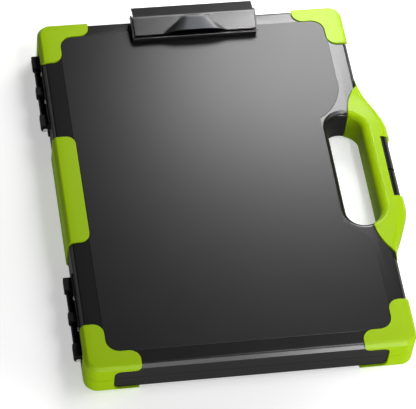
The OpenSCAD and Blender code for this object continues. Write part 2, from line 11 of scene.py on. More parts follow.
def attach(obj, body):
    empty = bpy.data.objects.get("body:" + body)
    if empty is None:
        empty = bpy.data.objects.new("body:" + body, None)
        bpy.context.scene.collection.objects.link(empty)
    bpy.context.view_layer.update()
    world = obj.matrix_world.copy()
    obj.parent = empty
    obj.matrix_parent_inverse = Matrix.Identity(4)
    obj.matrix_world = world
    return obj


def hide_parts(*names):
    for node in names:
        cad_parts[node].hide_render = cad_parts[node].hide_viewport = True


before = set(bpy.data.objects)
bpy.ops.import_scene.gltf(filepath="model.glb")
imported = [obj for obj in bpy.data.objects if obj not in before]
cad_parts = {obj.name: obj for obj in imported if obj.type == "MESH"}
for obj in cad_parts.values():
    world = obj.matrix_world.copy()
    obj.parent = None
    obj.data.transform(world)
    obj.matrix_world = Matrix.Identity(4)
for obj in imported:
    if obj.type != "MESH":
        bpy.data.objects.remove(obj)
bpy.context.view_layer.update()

bl_info = {
    "name": "Storage Clipboard Box",
    "version": (1, 0, 0),
    "blender": (4, 5, 0),
    "location": "View3D > Sidebar > Clipboard Box",
    "description": "Builds a hinged clipboard box with lime bumpers, handle and paper clip",
    "category": "Add Mesh",
}

# All shapes are drawn in millimetres round the middle of the closed box, with z = 0 on the
# parting plane, x towards the handle and y towards the clip. MIDDLE is that place in the row frame.
MIDDLE = Vector((-0.00585, -0.0025, 0.0198))
MM = 0.001

# Outside of the box
# BOX, PANEL and OPENING are width, length and corner radius
HALF_W = 148.0
HALF_L = 196.0
HALF_H = 19.0
BOX = (2 * HALF_W, 2 * HALF_L, 11.0)
SEAM = 0.15
EDGE_R = 5.0
# Degrees at which the rounded upper edge is creased, with a flat band between 8 and 58
EDGE_TURNS = (8, 58, 69, 80)
BORDER_TOP = 18.6
BORDER_RISE = 0.7
PANEL = (260.0, 360.0, 6.0)
# Hollow of a shell: width, length and corner radius, and the height up to which it goes
HOLLOWS = (((290.0, 386.0, 8.0), 12.0), ((278.0, 374.0, 8.0), 16.5))
# How far cutting blocks reach past the box, and below the parting plane
PAST = 30.0
BELOW = -1
# Points nearer than this are one point
WELD = 0.001

# Bumpers
PROUD = 1.5
FOOT = 0.8
SEAT_SIDE = 1.2
SEAT_FACE = 0.8
FLAT_FROM = 8.0
FLAT_R = 6.0
BUMPER_RISE = 0.3
ARM_X = 100.0
ARM_Y = 150.0
ARM_R = 10.0
INNER_R = 12.5
ARM_END_R = 6.0
SIDE_IN = 129.0
END_IN = 180.0
STEP_X = 123.9
STEP_Y = 174.0
STEP_X_R = 6.0
STEP_Y_R = 1.5
COVER_LIP = 12.5
BASE_LIP = 14.8
SPINE_HALF = 60.0
SPINE_IN = 128.5
SPINE_R = 9.0

# Finger opening and handle
OPENING_X = 127.0
OPENING = (33.0, 127.0, 16.0)
ROUND_FROM = 47.5
OPENING_RIGHT = 143.5
SPLIT_Y = 62.5
LINE_R = 50.0
LINE_X = 183.0
LINE_Y = 62.0
LINE_IN = 0.8
# The grip stands GRIP_OUT past the box up to GRIP_FLAT from the middle, and ends at GRIP_REACH
GRIP_OUT = 20.5
GRIP_FLAT = 44.0
GRIP_REACH = 105.0
GRIP_WALL = 3.2
GRIP_TOP = 19.6
GRIP_LIP = 0.3
GRIP_TURNS = 12
LEAST_CROWN = 0.2
# Rounding of the grip's outer edge, from OUTER_FROM over a length of OUTER_OVER, and of its inner edge
OUTER_R = (8.5, 5.0)
OUTER_FROM = 70
OUTER_OVER = 35
INNER_RIM_R = (9.0, 5.5)
CORE_TOP = 15.5
CORE_REACH = 84.0
CORE_SLOT = (6, 12)
CORE_SLOT_HALF = 54
CORE_ROOF = 2.5
OVERLAP = 2.0
OPENING_WALL = 3.0
CROWN_SLOPE = 0.13
CROWN_FALL = 1.0

# Latches
LATCH_SPANS = {"front": (-34.6, -5.1), "rear": (-2.9, 34.6)}
RECESS_HALF = 35.0
RECESS_X = 158.3
LATCH_SKIN = 2.4
LATCH_BARREL = 3.6
LATCH_X = 158.7
LATCH_OUT = 166.1
LATCH_TOP = 18.2
PIVOT_X = 162.5
PIVOT_Z = -11.5

# Hinges
HINGE_X = -152.6
HINGE_MIDDLES = {"front": -130.75, "rear": 127.25}
HINGE_HALF = 42.2
# Each leaf: body, spans of its knuckles, their radius, where their webs start, and its mirroring
LEAVES = (
    ("cover", ((-42.2, -28.8), (-4.8, 4.6), (28.6, 42.2)), 4.2, HINGE_X - 4.2, ""),
    ("base", ((-28.4, -5.2), (5.0, 28.2)), 2.8, HINGE_X, "z"))

# Clip
CLIP_X = 1.8
CLIP_HALF = 61.0
CLIP_FRONT = 167.5
CLIP_REAR = 193.0
PAD_TOP = 24.0
PLATE_TOP = 24.8
PLATE_BEVEL = (1.2, 0.65)
SIDE_T = 1.4
ROD_Y = 190.5
ROD_Z = 27.6
COIL_R = 2.2
JAW_HALF = 58.8
JAW_FRONT = 168.9
JAW_CREASE = 187.0
JAW_REAR = 202.5
JAW_T = 1.0
JAW_RISE = 6.85
JAW_FALL = 0.276
# Places along y up to the crease, and the height of the jaw over the plate at each
JAW_ROWS = (
    (JAW_FRONT, 2.0), (JAW_FRONT + 6, 3.7), (JAW_FRONT + 12.5, 5.6), (JAW_CREASE - 1, JAW_RISE),
    (JAW_CREASE + 1, JAW_RISE))
# Half the arch's width at the front and at the crease, and the painted shade that darkens its face
ARCH_HALVES = (32.0, 9.0)
ARCH_PAINTED_SHADE = (0.42, 0.43, 0.46)


def size_of(name, description, default, low, high):
    return FloatProperty(
        name=name, description=description, default=default, min=low, max=high, unit="LENGTH")


def colour_of(name, description, default):
    return FloatVectorProperty(
        name=name, description=description, default=default, subtype="COLOR", min=0, max=1)


def power_of(name, lamp, default):
    text = f"Power of the {lamp}"
    return FloatProperty(name=name, description=text, default=default, min=0, unit="POWER")


class CaseSizes(PropertyGroup):
    """Fine sizes of the visible pieces"""

    groove: size_of(
        "Groove", "Width of the dark groove round each lime piece", 0.0007, 0.0001, 0.0010)
    lime_edge: size_of(
        "Lime edges", "Rounding of the edges of the lime pieces", 0.0006, 0.0002, 0.0008)
    rim: size_of(
        "Opening rim", "Rounding of the rim of the finger opening", 0.0050, 0.0020, 0.0060)
    panel_edge: size_of(
        "Panel edge", "Rounding of the edge of the raised panel", 0.0004, 0.0001, 0.0008)
    arch: size_of(
        "Arch", "Height of the arch in the front edge of the clip", 0.0045, 0.0020, 0.0060)
    wire: size_of(
        "Spring wire", "Radius of the wire of the clip's spring", 0.0005, 0.0003, 0.0006)


class CaseColours(PropertyGroup):
    """Colours of the finishes"""

    shell: colour_of("Shell", "Charcoal of the two shells", (0.013, 0.012, 0.012))
    panel: colour_of("Panel", "Matt black of the raised panel", (0.006, 0.006, 0.0062))
    lime: colour_of("Lime", "Green of the bumpers and the handle", (0.40, 0.64, 0.003))
    fittings: colour_of("Fittings", "Black of the hinges and latches", (0.006, 0.006, 0.0065))
    gunmetal: colour_of("Gunmetal", "Dark coated steel of the clip", (0.075, 0.075, 0.075))
    steel: colour_of("Steel", "Plain steel of pins, screws and spring", (0.62, 0.62, 0.61))


class StageSettings(PropertyGroup):
    """Light and floor round the case"""

    rear_softbox: power_of("Rear softbox", "tall softbox behind the case", 3.05)
    rear_strip: power_of("Rear strip", "low softbox behind the case", 1.15)
    side_softbox: power_of("Side softbox", "softbox on the side of the handle", 3.8)
    overhead_softbox: power_of("Overhead softbox", "narrow softbox over the handle's side", 0.8)
    front_strip: power_of("Front strip", "long strip over the handle", 0.16)
    edge_softbox: power_of("Edge softbox", "softbox that draws the line of the front edge", 4.2)
    clip_softbox: power_of("Clip softbox", "small softbox over the clip", 0.046)
    front_softbox: power_of("Front softbox", "low softbox in front of the case", 3.5)
    corner_lamp: power_of("Corner lamp", "small lamp on the side of the hinges", 0.6)
    fill: FloatProperty(
        name="Fill", description="Strength of the plain light from all round", default=0.03, min=0)
    floor: colour_of("Floor", "Colour of the floor", (0.82, 0.82, 0.82))
    floor_white: FloatProperty(
        name="Floor white", description="How much whiter the floor looks than its light makes it",
        default=0.47, min=0, max=1)


# Drawing helpers


def among(made, kind):
    """The points, edges or faces among what an operator made."""
    return [item for item in made if isinstance(item, kind)]


def outwards(bm):
    bmesh.ops.recalc_face_normals(bm, faces=bm.faces[:])
    return bm


def moved(bm, way, verts=None):
    bmesh.ops.translate(bm, vec=way, verts=verts or bm.verts[:])
    return bm


def traced(low, high, start, *moves):
    """Block from low to high with a closed outline. A move of the outline is a point to go straight
    to, or a centre and degrees."""
    step = 9
    bm = bmesh.new()
    tip = bm.verts.new((start[0], start[1], 0))
    for move in moves:
        if len(move) == 2:
            tip = bmesh.ops.extrude_vert_indiv(bm, verts=[tip])["verts"][0]
            tip.co = (move[0], move[1], 0)
        else:
            made = bmesh.ops.spin(
                bm, geom=[tip], cent=(move[0], move[1], 0), axis=(0, 0, 1),
                angle=math.radians(move[2]), steps=max(2, round(abs(move[2]) / step)))
            tip = among(made["geom_last"], BMVert)[0]
    bmesh.ops.remove_doubles(bm, verts=bm.verts[:], dist=WELD)
    face = bmesh.ops.contextual_create(bm, geom=bm.edges[:])["faces"][0]
    return block_of(bm, face, low, high)


def extended(bm, face):
    """A copy of the face, joined to it by walls. A face that had walls already isn't kept inside."""
    inside = all(len(edge.link_faces) > 1 for edge in face.edges)
    made = among(bmesh.ops.extrude_face_region(bm, geom=[face])["geom"], BMFace)[0]
    if inside:
        bmesh.ops.delete(bm, geom=[face], context="FACES_ONLY")
    return made


def raised(bm, face, height):
    """The face moved up as the top of a block, with its walls below it."""
    top = extended(bm, face)
    moved(bm, (0, 0, height), top.verts[:])
    return top


def block_of(bm, face, low, high):
    moved(bm, (0, 0, low), face.verts[:])
    raised(bm, face, high - low)
    return outwards(bm)


def corner_centre(vert, size):
    width, length, radius = size
    return Vector((
        math.copysign(width / 2 - radius, vert.co.x), math.copysign(length / 2 - radius, vert.co.y)))


def rounded_face(bm, size, low=0.0):
    """Rectangle with rounded corners round the origin, from (width, length, radius)."""
    width, length, radius = size
    face = bm.faces.new([
        bm.verts.new((x * width / 2, y * length / 2, low))
        for x, y in ((-1, -1), (1, -1), (1, 1), (-1, 1))])
    bmesh.ops.bevel(
        bm, geom=face.verts[:], offset=radius, offset_type="OFFSET", segments=14, profile=0.5,
        affect="VERTICES", material=-1, clamp_overlap=False)
    return bm.faces[:][0]


def rounded_block(size, low, high):
    bm = bmesh.new()
    return block_of(bm, rounded_face(bm, size), low, high)


def stepped(bm, face, old, new, height):
    """Extrude a rounded rectangle and give its copy another size and height."""
    top = raised(bm, face, 0)
    for vert in top.verts:
        out = (vert.co.xy - corner_centre(vert, old)) / old[2]
        vert.co.xy = corner_centre(vert, new) + new[2] * out
        vert.co.z = height
    return top


def grown(size, by):
    """Size of a rounded rectangle after it grows by so much on all sides."""
    return (size[0] + 2 * by, size[1] + 2 * by, size[2] + by)


def turn_in(radius, degrees):
    """How far in a rounded edge is after this many degrees."""
    return radius * (1 - math.cos(math.radians(degrees)))


def turn_up(radius, degrees):
    """How far up a rounded edge is after this many degrees."""
    return radius * math.sin(math.radians(degrees))


def half_box(grow, level, rise, flat):
    """Upper half of the box as one block: side wall, rounded edge, sloped border and flat middle."""
    size = grown(BOX, grow)
    shoulder = level - rise - turn_up(EDGE_R, EDGE_TURNS[-1])
    bm = bmesh.new()
    last, face = size, stepped(bm, rounded_face(bm, size, SEAM), size, size, shoulder)
    for turn in EDGE_TURNS:
        ring = grown(size, -turn_in(EDGE_R, turn))
        face = stepped(bm, face, last, ring, shoulder + turn_up(EDGE_R, turn))
        last = ring
    stepped(bm, face, last, flat, level)
    return outwards(bm)


def seat_box():
    return half_box(-SEAT_SIDE, BORDER_TOP - SEAT_FACE, BORDER_RISE, PANEL)


def ribbon(ys, left, right, low, high):
    """Block between two curves that run along y."""
    bm = bmesh.new()
    ends = [bm.verts.new((side(ys[0]), ys[0], low)) for side in (left, right)]
    edge = bm.edges.new(ends)
    for y in ys[1:]:
        made = bmesh.ops.extrude_edge_only(bm, edges=[edge])["geom"]
        edge = among(made, BMEdge)[0]
        a, b = sorted(edge.verts, key=lambda vert: vert.co.x)
        a.co = (left(y), y, low)
        b.co = (right(y), y, low)
    made = bmesh.ops.extrude_face_region(bm, geom=bm.faces[:])["geom"]
    moved(bm, (0, 0, high - low), among(made, BMVert))
    return outwards(bm)


def brick(low, high, soft=0.0):
    """Block from its lowest to its highest corner, with its edges rounded by soft."""
    bm = bmesh.new()
    bmesh.ops.create_cube(bm, size=1)
    size = [b - a for a, b in zip(low, high)]
    bmesh.ops.scale(bm, vec=size, verts=bm.verts)
    moved(bm, [(a + b) / 2 for a, b in zip(low, high)])
    if soft:
        soften(bm, bm.edges[:], soft)
    return bm


def soften(bm, edges, width, segments=3):
    bmesh.ops.bevel(
        bm, geom=edges, offset=width, offset_type="OFFSET", segments=segments, profile=0.5,
        affect="EDGES", material=-1, clamp_overlap=True)


def bar(radius, length, centre, soft):
    """Round bar round centre along y, with its ends rounded by soft."""
    bm = bmesh.new()
    bmesh.ops.create_cone(
        bm, cap_ends=True, segments=48, radius1=radius, radius2=radius, depth=length)
    soften(bm, edges_round([face for face in bm.faces if len(face.verts) > 4]), soft)
    turn = Matrix.Rotation(math.radians(-90), 3, "X")
    bmesh.ops.rotate(bm, cent=(0, 0, 0), matrix=turn, verts=bm.verts)
    return moved(bm, centre)


def stood(bm, *rows):
    bmesh.ops.transform(bm, matrix=Matrix((*rows, (0, 0, 0, 1))), verts=bm.verts)
    return outwards(bm)


def turned_side(bm, start):
    """A block drawn in the plan, stood up so that its x runs along y and its y runs up, from start."""
    return stood(bm, (0, 0, 1, start), (1, 0, 0, 0), (0, 1, 0, 0))


def turned_front(bm, start):
    """A block drawn in the plan, stood up so that its x stays and its y runs up, from y = start."""
    return stood(bm, (1, 0, 0, 0), (0, 0, -1, start), (0, 1, 0, 0))


def mirrored(bm, axes):
    """A copy of the block, mirrored over each named axis."""
    made = bm.copy()
    scale = [-1 if axis in axes else 1 for axis in "xyz"]
    bmesh.ops.scale(made, vec=scale, verts=made.verts)
    if len(axes) % 2:
        bmesh.ops.reverse_faces(made, faces=made.faces[:])
    return made


def joined(*blocks):
    """Blocks in one mesh, as they are."""
    whole = bmesh.new()
    for block in blocks:
        mesh = bpy.data.meshes.new("join")
        block.to_mesh(mesh)
        block.free()
        whole.from_mesh(mesh)
        bpy.data.meshes.remove(mesh)
    return whole


def added(name, bm, material=None):
    """The block as an object of the scene."""
    mesh = bpy.data.meshes.new(name)
    bm.to_mesh(mesh)
    bm.free()
    if material:
        mesh.materials.append(material)
    return placed(name, mesh)


def placed(name, data):
    made = bpy.data.objects.new(name, data)
    bpy.context.scene.collection.objects.link(made)
    return made


def less(tool):
    return "DIFFERENCE", tool


def plus(tool):
    return "UNION", tool


def carved(bm, *steps):
    """The block after each step, an operation and the block that it uses."""
    body = added("block", bm)
    tools = []
    for operation, tool in steps:
        tools.append(added("tool", tool))
        cut = body.modifiers.new(operation, "BOOLEAN")
        cut.operation = operation
        cut.solver = "EXACT"
        cut.object = tools[-1]
    bpy.context.view_layer.update()
    made = bmesh.new()
    made.from_object(body, bpy.context.evaluated_depsgraph_get())
    for thing in [body, *tools]:
        mesh = thing.data
        bpy.data.objects.remove(thing)
        bpy.data.meshes.remove(mesh)
    bmesh.ops.remove_doubles(made, verts=made.verts[:], dist=2 * WELD)
    bmesh.ops.dissolve_degenerate(made, edges=made.edges[:], dist=WELD)
    if not made.faces:
        raise RuntimeError("a cut left nothing of a block")
    return made


def sharp_edges(bm, least):
    return [edge for edge in bm.edges if edge.calc_face_angle(0) > math.radians(least)]


def edges_round(faces):
    return list(dict.fromkeys(edge for face in faces for edge in face.edges))


def sizes():
    return bpy.context.scene.case_sizes


def colours():
    return bpy.context.scene.case_colours


def finish_piece(name, bm, body, slot, material, sharp=34, node=None):
    """Turn a block into a piece of the case in the row frame, which replaces the CAD node of its name
    or the one given. Edges sharper than sharp degrees stay hard."""
    for face in bm.faces:
        face.smooth = True
    for edge in bm.edges:
        edge.smooth = edge.calc_face_angle(0) < math.radians(sharp)
    place = Matrix.Translation(MIDDLE) @ Matrix.Scale(MM, 4)
    bmesh.ops.transform(bm, matrix=place, verts=bm.verts)
    piece = added(name, bm, material)
    normals = piece.modifiers.new("Weighted normals", "WEIGHTED_NORMAL")
    normals.keep_sharp = True
    normals.weight = 80
    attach(piece, body)
    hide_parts(node or name)


# Finishes


def group_of(name, inputs, outputs):
    """Empty shader group that takes coordinates and numbers, and puts out numbers."""
    group = bpy.data.node_groups.new(name, "ShaderNodeTree")
    group.interface.new_socket(name="Vector", in_out="INPUT", socket_type="NodeSocketVector")
    for label, value in inputs.items():
        socket = group.interface.new_socket(
            name=label, in_out="INPUT", socket_type="NodeSocketFloat")
        socket.default_value = value
    for label in outputs:
        group.interface.new_socket(name=label, in_out="OUTPUT", socket_type="NodeSocketFloat")
    given = group.nodes.new("NodeGroupInput").outputs
    return group, given, group.nodes.new("NodeGroupOutput")


def feed(tree, node, inputs):
    """Set a node's inputs to values, or link them to sockets."""
    for name, value in inputs.items():
        if isinstance(value, NodeSocket):
            tree.links.new(value, node.inputs[name])
        else:
            node.inputs[name].default_value = value


def linked(tree, kind, inputs, **settings):
    """New node with its settings and its inputs."""
    node = tree.nodes.new(kind)
    for name, value in settings.items():
        setattr(node, name, value)
    feed(tree, node, inputs)
    return node


def maths(tree, operation, *values, clamp=False):
    return linked(tree, "ShaderNodeMath", dict(enumerate(values)), operation=operation,
                  use_clamp=clamp).outputs[0]


def noise(tree, place, scale, detail, rough=0.5):
    return linked(tree, "ShaderNodeTexNoise", {
        "Vector": place, "Scale": scale, "Detail": detail, "Roughness": rough}).outputs["Fac"]


def stretched(tree, place, factors):
    return linked(tree, "ShaderNodeVectorMath", {0: place, 1: factors},
                  operation="MULTIPLY").outputs[0]


def weighed(tree, fac, low, high):
    """Number between two numbers."""
    return linked(tree, "ShaderNodeMix", {0: fac, 2: low, 3: high}).outputs[0]


def blended(tree, fac, low, high, blend="MIX"):
    """Colour between two colours."""
    low, high = [end if isinstance(end, NodeSocket) else (*end, 1) for end in (low, high)]
    return linked(tree, "ShaderNodeMix", {0: fac, 6: low, 7: high}, data_type="RGBA",
                  blend_type=blend).outputs[2]


def scaled(colour, factor):
    return tuple(min(1.0, part * factor) for part in colour)


def ranged(tree, value, low, high, start=0.0, end=1.0, curve="LINEAR"):
    """Number that goes from low to high while value goes from start to end."""
    return linked(tree, "ShaderNodeMapRange", {
        "Value": value, "From Min": start, "From Max": end, "To Min": low, "To Max": high},
        interpolation_type=curve).outputs[0]


def grain_group():
    """Moulded grain: a fine height for the bump and a slow tone for colour and gloss."""
    if "Moulded grain" in bpy.data.node_groups:
        return bpy.data.node_groups["Moulded grain"]
    group, given, out = group_of(
        "Moulded grain", {"Grain size": 1500.0, "Tone size": 25.0, "Tone contrast": 0.3},
        ("Height", "Tone"))
    fine = noise(group, given["Vector"], given["Grain size"], 3.0, 0.6)
    cells = linked(group, "ShaderNodeTexVoronoi", {
        "Vector": given["Vector"], "Scale": given["Grain size"]}, feature="SMOOTH_F1")
    slow = noise(group, given["Vector"], given["Tone size"], 4.0, 0.55)
    centred = maths(group, "SUBTRACT", slow, 0.5)
    tone = maths(group, "MULTIPLY_ADD", centred, given["Tone contrast"], 0.5, clamp=True)
    feed(group, out, {"Height": weighed(group, 0.4, fine, cells.outputs[0]), "Tone": tone})
    return group


def rub_group():
    """Handling marks: thin short streaks and spots where the surface is rubbed."""
    if "Rub marks" in bpy.data.node_groups:
        return bpy.data.node_groups["Rub marks"]
    group, given, out = group_of("Rub marks", {"Mark size": 60.0, "Least": 0.62}, ("Mask",))
    streaks = stretched(group, given["Vector"], (1.0, 0.25, 1.0))
    marks = noise(group, streaks, given["Mark size"], 8.0, 0.7)
    feed(group, out, {"Mask": ranged(group, marks, 0.0, 1.0, given["Least"], 0.85)})
    return group


def brushed_group():
    """Fine lines of brushed sheet metal along x."""
    if "Brushed lines" in bpy.data.node_groups:
        return bpy.data.node_groups["Brushed lines"]
    group, given, out = group_of("Brushed lines", {"Line size": 900.0}, ("Height", "Tone"))
    streaks = stretched(group, given["Vector"], (0.04, 1.0, 1.0))
    lines = noise(group, streaks, given["Line size"], 4.0, 0.6)
    cloud = noise(group, given["Vector"], 60.0, 3.0)
    feed(group, out, {"Height": lines, "Tone": weighed(group, 0.5, lines, cloud)})
    return group


def started(name):
    material = bpy.data.materials.new(name)
    material.use_nodes = True
    tree = material.node_tree
    place = tree.nodes.new("ShaderNodeTexCoord").outputs["Object"]
    return material, tree, tree.nodes["Principled BSDF"], place


def effect(tree, group, place, values):
    """A shader group in a material, at its coordinates and with its values."""
    return linked(tree, "ShaderNodeGroup", {"Vector": place, **values}, node_tree=group).outputs


def worn(tree, place, colour, tone, spread, marks, lighter):
    """The colour, varied by spread with the tone, and lighter at the rub marks. Also gives the marks."""
    mask = effect(tree, rub_group(), place, {})["Mask"]
    base = blended(tree, tone, scaled(colour, 1 - spread), scaled(colour, 1 + spread))
    return blended(tree, ranged(tree, mask, 0.0, marks), base, scaled(colour, lighter)), mask


def relief(tree, height, distance):
    return linked(tree, "ShaderNodeBump", {
        "Strength": 1.0, "Distance": distance, "Height": height}).outputs["Normal"]


def plastic(name, colour, rough, grain, bump, specular=0.5, wall=0.3, tone=0.25, marks=0.06):
    """Moulded plastic: grain in the bump, slow tone in the colour, rubbed spots in the gloss.
    Upright walls, and slopes to the left and right, shine less, by the factor wall."""
    if name in bpy.data.materials:
        return bpy.data.materials[name]
    wall_rough, wall_from, wall_to, aside_share = 0.62, 0.1, 0.4, 0.5
    rub_light, rub_gloss, rub_share, vary = 2.2, 0.5, 0.25, 0.08
    material, tree, shader, place = started(name)
    moulded = effect(
        tree, grain_group(), place, {"Grain size": grain, "Tone contrast": tone * 2})
    base, mask = worn(tree, place, colour, moulded["Tone"], tone, marks, rub_light)
    slow = ranged(tree, moulded["Tone"], rough * (1 - vary), rough * (1 + vary))
    rubbed = maths(tree, "MULTIPLY_ADD", mask, -rub_gloss * rough, slow)
    gloss = weighed(tree, rub_share, slow, rubbed)
    facing = tree.nodes.new("ShaderNodeTexCoord").outputs["Normal"]
    parts = linked(tree, "ShaderNodeSeparateXYZ", {0: facing}).outputs
    level = maths(tree, "ABSOLUTE", parts["Z"])
    aside = maths(tree, "ABSOLUTE", parts["X"])
    turned = maths(tree, "MULTIPLY_ADD", aside, -aside_share, level)
    flat = ranged(tree, turned, 0.0, 1.0, wall_from, wall_to)
    feed(tree, shader, {
        "Base Color": base,
        "Roughness": weighed(tree, flat, wall_rough, gloss),
        "Specular IOR Level": ranged(tree, flat, specular * wall, specular),
        "Normal": relief(tree, moulded["Height"], bump)})
    return material


def metal(name, colour, rough, lines, bump):
    """Brushed or coated metal."""
    if name in bpy.data.materials:
        return bpy.data.materials[name]
    material, tree, shader, place = started(name)
    brushed = effect(tree, brushed_group(), place, {"Line size": lines})
    base, _ = worn(tree, place, colour, brushed["Tone"], spread=0.14, marks=0.25, lighter=1.5)
    feed(tree, shader, {
        "Base Color": base,
        "Roughness": ranged(tree, brushed["Tone"], rough * 0.85, rough * 1.15),
        "Metallic": 1.0,
        "Normal": relief(tree, brushed["Height"], bump)})
    return material


def shell_finish():
    return plastic("Charcoal shell", colours().shell, 0.24, 1800, 0.000003, specular=0.6, wall=0.25)


def panel_finish():
    return plastic("Matt panel", colours().panel, 0.31, 1400, 0.000002, specular=0.43, marks=0.03)


def lime_finish():
    return plastic(
        "Lime rubber", colours().lime, 0.34, 1600, 0.000004, specular=0.22, tone=0.05, marks=0.03)


def fittings_finish():
    return plastic("Black fittings", colours().fittings, 0.34, 2000, 0.000004, specular=0.3)


def paint_arch_shade(material):
    """Painted shade: darken the colour of the level face of the arch in the jaw, up to the jaw's crease.
    """
    tree = material.node_tree
    colour = tree.nodes["Principled BSDF"].inputs["Base Color"]
    coordinates = tree.nodes.new("ShaderNodeTexCoord").outputs
    up = linked(tree, "ShaderNodeSeparateXYZ", {0: coordinates["Normal"]}).outputs["Z"]
    along = linked(tree, "ShaderNodeSeparateXYZ", {0: coordinates["Object"]}).outputs["Y"]
    sloped, flat, near, past = 0.975, 0.995, 0.001, 0.004
    crease = JAW_CREASE * MM + MIDDLE.y
    level = ranged(tree, up, 0.0, 1.0, sloped, flat)
    front = ranged(tree, along, 0.0, 1.0, crease - near, crease - past)
    mask = maths(tree, "MULTIPLY", level, front)
    # Painted shade: the jaw's colour is multiplied down where the level face of the arch is
    painted_shade = blended(tree, mask, colour.links[0].from_socket, ARCH_PAINTED_SHADE, "MULTIPLY")
    tree.links.new(painted_shade, colour)


def gunmetal_finish():
    if "Gunmetal clip" in bpy.data.materials:
        return bpy.data.materials["Gunmetal clip"]
    material = metal("Gunmetal clip", colours().gunmetal, 0.36, 1200, 0.000001)
    # The clip's colour carries painted shade on the level face of the arch
    paint_arch_shade(material)
    return material


def steel_finish():
    return metal("Plain steel", colours().steel, 0.28, 1500, 0.000002)


# Outlines of the handle


def rim_x(y, grow):
    """Right side of the finger opening with its outline moved out by grow."""
    over = max(abs(y) - ROUND_FROM, 0.0)
    radius = OPENING[2]
    return OPENING_RIGHT - radius + math.sqrt(max((radius + grow) ** 2 - over ** 2, 0.0))


def line_at(y):
    """Line between grip and shell, which starts at the finger opening."""
    far = abs(y)
    if far < SPLIT_Y - WELD:
        return 0.0
    return min(LINE_X - math.sqrt(LINE_R ** 2 - (far - LINE_Y) ** 2), HALF_W - LINE_IN)


def inner_x(y):
    """Inner side of the grip: the finger opening, then the line between grip and shell."""
    return rim_x(y, 0.0) if abs(y) < SPLIT_Y else line_at(y)


def outer_x(y):
    """Outer side of the grip: straight, then a smooth curve back to the side of the box."""
    far, sunk = abs(y), 3
    if far < GRIP_FLAT:
        return HALF_W + GRIP_OUT
    part = (far - GRIP_FLAT) / (GRIP_REACH + sunk - GRIP_FLAT)
    return HALF_W + GRIP_OUT * (0.5 + 0.5 * math.cos(math.pi * part))


def between(low, high, count):
    return [low + (high - low) * i / count for i in range(count)]


def stations(reach):
    """Places along the handle, close together where it bends."""
    half = between(0, GRIP_FLAT, 6) + between(GRIP_FLAT, ROUND_FROM, 4)
    half += between(ROUND_FROM, SPLIT_Y, 14) + between(SPLIT_Y, GRIP_REACH, 26) + [GRIP_REACH]
    half = [y for y in half if y < reach] + [reach]
    return [-y for y in half[:0:-1]] + half


def mixed(low, high, part):
    return low + (high - low) * min(max(part, 0.0), 1.0)


def grip_section(y):
    """Section of the grip at y, as (x, z) from the inner foot over the crown to the outer foot."""
    far = abs(y)
    left, right, line = inner_x(y), outer_x(y), line_at(y)
    out_r = mixed(*OUTER_R, (far - OUTER_FROM) / OUTER_OVER)
    in_r = mixed(*INNER_RIM_R, (far - ROUND_FROM) / (SPLIT_Y - ROUND_FROM))
    turns = [90 * i / GRIP_TURNS for i in range(GRIP_TURNS + 1)]
    rim = [max(rim_x(y, turn_in(in_r, turn)), line + turn_in(GRIP_LIP, turn)) for turn in turns]
    room = right - rim[-1] - LEAST_CROWN
    start = 90.0 if room >= out_r else math.degrees(math.acos(1 - room / out_r))
    inner_foot = GRIP_TOP - out_r + turn_up(out_r, start) - in_r
    outer_foot = GRIP_TOP - min(CROWN_FALL, CROWN_SLOPE * max(room - out_r, 0.0)) - out_r
    points = [(left, SEAM)]
    points += [(x, inner_foot + turn_up(in_r, turn)) for x, turn in zip(rim, turns)]
    for i in range(GRIP_TURNS, -1, -1):
        turn = start * i / GRIP_TURNS
        points.append((right - turn_in(out_r, turn), outer_foot + turn_up(out_r, turn)))
    return points + [(right, SEAM)]


def grip_block():
    """The handle's skin, extruded from section to section along the handle."""
    ys = stations(GRIP_REACH)
    bm = bmesh.new()
    face = bm.faces.new([bm.verts.new((x, ys[0], z)) for x, z in grip_section(ys[0])])
    for y in ys[1:]:
        face = extended(bm, face)
        for vert, (x, z) in zip(face.verts, grip_section(y)):
            vert.co = (x, y, z)
    return outwards(bm)


def core_block():
    def left(y):
        return max(rim_x(y, GRIP_WALL), line_at(y) - OVERLAP)

    def right(y):
        return outer_x(y) - GRIP_WALL

    return ribbon(stations(CORE_REACH), left, right, SEAM, CORE_TOP)


def recess_block():
    return brick((RECESS_X, -RECESS_HALF, BELOW), (RECESS_X + PAST, RECESS_HALF, HALF_H + PAST))


def grip_room(grow):
    def left(y):
        return inner_x(y) - grow - (OVERLAP if abs(y) < SPLIT_Y else 0.0)

    return ribbon(stations(GRIP_REACH), left, lambda y: HALF_W + PAST, BELOW, HALF_H + PAST)


# Outlines of the shells


def corner_room(grow, lip):
    """Room of the rear right bumper: arms that end at lip, and a corner that goes all the way down."""
    arm_x, arm_y = ARM_X - grow, ARM_Y - grow
    side_in, end_in = SIDE_IN - grow, END_IN - grow
    arm_r, inner_r = ARM_R + grow, INNER_R - grow
    past_x, past_y = HALF_W + PAST, HALF_L + PAST
    bm = traced(
        BELOW, HALF_H + PAST, (arm_x, past_y),
        (arm_x, end_in + arm_r), (arm_x + arm_r, end_in + arm_r, 90),
        (side_in - inner_r, end_in), (side_in - inner_r, end_in - inner_r, -90),
        (side_in, arm_y + arm_r), (side_in + arm_r, arm_y + arm_r, 90),
        (past_x, arm_y), (past_x, past_y), (arm_x, past_y))
    rear = turned_front(under_arm(arm_x, STEP_X - grow, STEP_X_R, lip, grow), past_y + 1)
    side = turned_side(under_arm(arm_y, STEP_Y - grow, STEP_Y_R, lip, grow), ARM_X - PAST)
    return carved(bm, less(rear), less(side))


